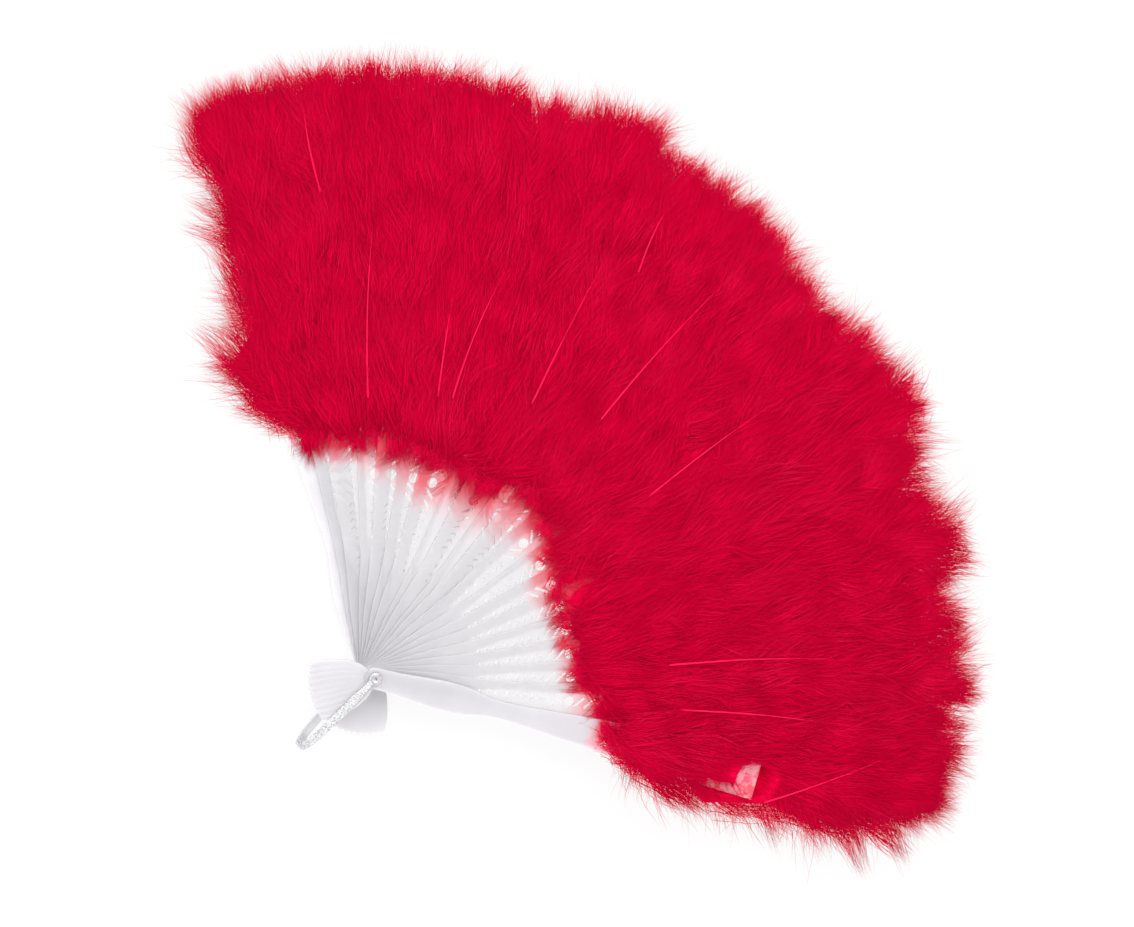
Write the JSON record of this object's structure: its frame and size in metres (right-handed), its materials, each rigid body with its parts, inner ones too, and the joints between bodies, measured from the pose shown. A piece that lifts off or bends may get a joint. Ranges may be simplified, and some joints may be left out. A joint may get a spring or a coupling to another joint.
{
  "type": "folding feather fan",
  "caption": "Folding fan lying open on its back: fluffy plumes on thin pierced sticks between two thick guards, all turning on one rivet, with a carrying ring at the pivot.",
  "frame": {"origin": "centre of the rivet's flat back head, on the surface that the fan lies on", "axes": "+Z along the rivet, up through the stack; +Y the middle line of the open fan, away from the ring; +X across, towards the front guard's side"},
  "size_m": [0.546, 0.3549, 0.0369],
  "materials": {
    "guard_plastic": "milky white, satin",
    "stick_plastic": "milky white, slightly see-through, satin",
    "silver_plastic": "silver glitter",
    "rivet_metal": "nickel-plated",
    "marabou": "dyed down, silky",
    "satin_ribbon": "satin"
  },
  "bodies": {
    "back_guard": {"back_guard": "guard_plastic", "pivot_rivet": "rivet_metal", "link_ribbon": "satin_ribbon", "back_guard_plume": "marabou"},
    "front_guard": {"front_guard": "guard_plastic", "front_guard_plume": "marabou"},
    "stick_01": {"stick_01": "stick_plastic", "plume_01": "marabou"},
    "stick_02": {"stick_02": "stick_plastic", "plume_02": "marabou"},
    "stick_03": {"stick_03": "stick_plastic", "plume_03": "marabou"},
    "stick_04": {"stick_04": "stick_plastic", "plume_04": "marabou"},
    "stick_05": {"stick_05": "stick_plastic", "plume_05": "marabou"},
    "stick_06": {"stick_06": "stick_plastic", "plume_06": "marabou"},
    "stick_07": {"stick_07": "stick_plastic", "plume_07": "marabou"},
    "stick_08": {"stick_08": "stick_plastic", "plume_08": "marabou"},
    "stick_09": {"stick_09": "stick_plastic", "plume_09": "marabou"},
    "stick_10": {"stick_10": "stick_plastic", "plume_10": "marabou"},
    "stick_11": {"stick_11": "stick_plastic", "plume_11": "marabou"},
    "stick_12": {"stick_12": "stick_plastic", "plume_12": "marabou"},
    "stick_13": {"stick_13": "stick_plastic", "plume_13": "marabou"},
    "stick_14": {"stick_14": "stick_plastic", "plume_14": "marabou"},
    "stick_15": {"stick_15": "stick_plastic", "plume_15": "marabou"},
    "stick_16": {"stick_16": "stick_plastic", "plume_16": "marabou"},
    "stick_17": {"stick_17": "stick_plastic", "plume_17": "marabou"},
    "stick_18": {"stick_18": "stick_plastic", "plume_18": "marabou"},
    "carrying_ring": {"carrying_ring": "silver_plastic"}
  },
  "joints": [
    {"name": "fan_fold", "type": "hinge", "parent": "back_guard", "child": "front_guard", "pos_m": [0, 0, 0], "axis": [0, 0, 1], "range_deg": [0, 120.8], "deforming": ["back_guard_plume", "front_guard_plume", "link_ribbon", "plume_01", "plume_02", "plume_03", "plume_04", "plume_05", "plume_06", "plume_07", "plume_08", "plume_09", "plume_10", "plume_11", "plume_12", "plume_13", "plume_14", "plume_15", "plume_16", "plume_17", "plume_18"]},
    {"name": "stick_01_fold", "type": "hinge", "parent": "back_guard", "child": "stick_01", "pos_m": [0, 0, 0], "axis": [0, 0, 1], "range_deg": [0, 5.2]},
    {"name": "stick_02_fold", "type": "hinge", "parent": "back_guard", "child": "stick_02", "pos_m": [0, 0, 0], "axis": [0, 0, 1], "range_deg": [0, 9]},
    {"name": "stick_03_fold", "type": "hinge", "parent": "back_guard", "child": "stick_03", "pos_m": [0, 0, 0], "axis": [0, 0, 1], "range_deg": [0, 16.4]},
    {"name": "stick_04_fold", "type": "hinge", "parent": "back_guard", "child": "stick_04", "pos_m": [0, 0, 0], "axis": [0, 0, 1], "range_deg": [0, 21.2]},
    {"name": "stick_05_fold", "type": "hinge", "parent": "back_guard", "child": "stick_05", "pos_m": [0, 0, 0], "axis": [0, 0, 1], "range_deg": [0, 27.6]},
    {"name": "stick_06_fold", "type": "hinge", "parent": "back_guard", "child": "stick_06", "pos_m": [0, 0, 0], "axis": [0, 0, 1], "range_deg": [0, 33.1]},
    {"name": "stick_07_fold", "type": "hinge", "parent": "back_guard", "child": "stick_07", "pos_m": [0, 0, 0], "axis": [0, 0, 1], "range_deg": [0, 41.8]},
    {"name": "stick_08_fold", "type": "hinge", "parent": "back_guard", "child": "stick_08", "pos_m": [0, 0, 0], "axis": [0, 0, 1], "range_deg": [0, 46]},
    {"name": "stick_09_fold", "type": "hinge", "parent": "back_guard", "child": "stick_09", "pos_m": [0, 0, 0], "axis": [0, 0, 1], "range_deg": [0, 54.2]},
    {"name": "stick_10_fold", "type": "hinge", "parent": "back_guard", "child": "stick_10", "pos_m": [0, 0, 0], "axis": [0, 0, 1], "range_deg": [0, 58.3]},
    {"name": "stick_11_fold", "type": "hinge", "parent": "back_guard", "child": "stick_11", "pos_m": [0, 0, 0], "axis": [0, 0, 1], "range_deg": [0, 65]},
    {"name": "stick_12_fold", "type": "hinge", "parent": "back_guard", "child": "stick_12", "pos_m": [0, 0, 0], "axis": [0, 0, 1], "range_deg": [0, 72.9]},
    {"name": "stick_13_fold", "type": "hinge", "parent": "back_guard", "child": "stick_13", "pos_m": [0, 0, 0], "axis": [0, 0, 1], "range_deg": [0, 79.5]},
    {"name": "stick_14_fold", "type": "hinge", "parent": "back_guard", "child": "stick_14", "pos_m": [0, 0, 0], "axis": [0, 0, 1], "range_deg": [0, 86]},
    {"name": "stick_15_fold", "type": "hinge", "parent": "back_guard", "child": "stick_15", "pos_m": [0, 0, 0], "axis": [0, 0, 1], "range_deg": [0, 93.2]},
    {"name": "stick_16_fold", "type": "hinge", "parent": "back_guard", "child": "stick_16", "pos_m": [0, 0, 0], "axis": [0, 0, 1], "range_deg": [0, 100.1]},
    {"name": "stick_17_fold", "type": "hinge", "parent": "back_guard", "child": "stick_17", "pos_m": [0, 0, 0], "axis": [0, 0, 1], "range_deg": [0, 106.9]},
    {"name": "stick_18_fold", "type": "hinge", "parent": "back_guard", "child": "stick_18", "pos_m": [0, 0, 0], "axis": [0, 0, 1], "range_deg": [0, 113.8]},
    {"name": "ring_swivel", "type": "hinge", "parent": "back_guard", "child": "carrying_ring", "pos_m": [0, 0, 0], "axis": [0, 0, 1], "range_deg": [-100, 100]}
  ],
  "couplings": [
    {"joint": "stick_01_fold", "follows": "fan_fold", "ratio": 0.042},
    {"joint": "stick_02_fold", "follows": "fan_fold", "ratio": 0.074},
    {"joint": "stick_03_fold", "follows": "fan_fold", "ratio": 0.135},
    {"joint": "stick_04_fold", "follows": "fan_fold", "ratio": 0.175},
    {"joint": "stick_05_fold", "follows": "fan_fold", "ratio": 0.228},
    {"joint": "stick_06_fold", "follows": "fan_fold", "ratio": 0.273},
    {"joint": "stick_07_fold", "follows": "fan_fold", "ratio": 0.345},
    {"joint": "stick_08_fold", "follows": "fan_fold", "ratio": 0.38},
    {"joint": "stick_09_fold", "follows": "fan_fold", "ratio": 0.448},
    {"joint": "stick_10_fold", "follows": "fan_fold", "ratio": 0.482},
    {"joint": "stick_11_fold", "follows": "fan_fold", "ratio": 0.537},
    {"joint": "stick_12_fold", "follows": "fan_fold", "ratio": 0.603},
    {"joint": "stick_13_fold", "follows": "fan_fold", "ratio": 0.657},
    {"joint": "stick_14_fold", "follows": "fan_fold", "ratio": 0.711},
    {"joint": "stick_15_fold", "follows": "fan_fold", "ratio": 0.771},
    {"joint": "stick_16_fold", "follows": "fan_fold", "ratio": 0.828},
    {"joint": "stick_17_fold", "follows": "fan_fold", "ratio": 0.884},
    {"joint": "stick_18_fold", "follows": "fan_fold", "ratio": 0.941}
  ]
}
